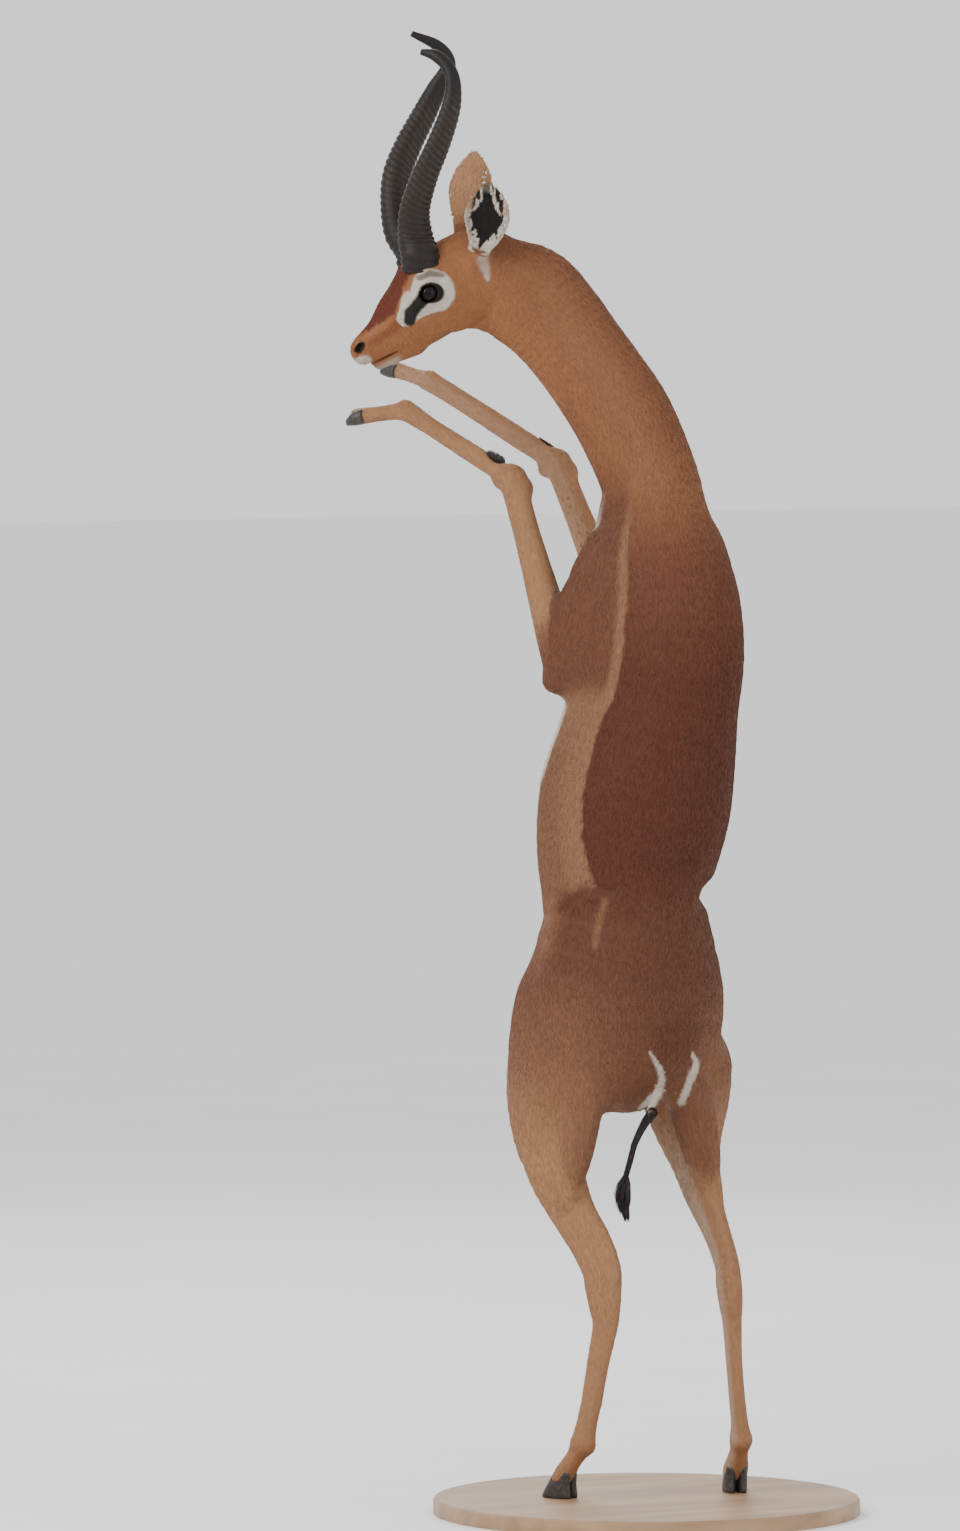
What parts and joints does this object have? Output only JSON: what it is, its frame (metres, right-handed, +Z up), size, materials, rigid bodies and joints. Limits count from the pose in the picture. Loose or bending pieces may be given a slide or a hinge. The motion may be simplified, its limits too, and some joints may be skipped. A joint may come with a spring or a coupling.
{
  "type": "gerenuk",
  "caption": "A life-size gerenuk standing upright on its hind legs to browse, forelegs raised, as a still model on a plain round base.",
  "frame": {"origin": "centre of the round base's underside, which is the plane the model stands on", "axes": "+Z up, -Y the way the hips face (the belly's side), +X the animal's left"},
  "size_m": [0.6739, 0.8057, 2.078],
  "materials": {
    "coat": "matte",
    "horn": "matte",
    "eye": "gloss",
    "dark_hair": "matte",
    "hoof": "satin",
    "base_wood": "satin"
  },
  "bodies": {
    "root": {"belly": "coat", "chest": "coat", "ear_left": "coat", "ear_right": "coat", "eye_left": "eye", "eye_right": "eye", "fore_cannon_left": "coat", "fore_cannon_right": "coat", "fore_foot_left": "coat", "fore_foot_right": "coat", "forearm_left": "coat", "forearm_right": "coat", "head": "coat", "hind_cannon_left": "coat", "hind_cannon_right": "coat", "hind_foot_left": "coat", "hind_foot_right": "coat", "hindquarters": "coat", "hoof_fore_left_inner": "hoof", "hoof_fore_left_outer": "hoof", "hoof_fore_right_inner": "hoof", "hoof_fore_right_outer": "hoof", "hoof_hind_left_inner": "hoof", "hoof_hind_left_outer": "hoof", "hoof_hind_right_inner": "hoof", "hoof_hind_right_outer": "hoof", "horn_left": "horn", "horn_right": "horn", "knee_brush_left": "dark_hair", "knee_brush_right": "dark_hair", "neck": "coat", "shank_left": "coat", "shank_right": "coat", "stand_base": "base_wood", "tail": "dark_hair", "tail_tuft": "dark_hair"}
  },
  "joints": []
}
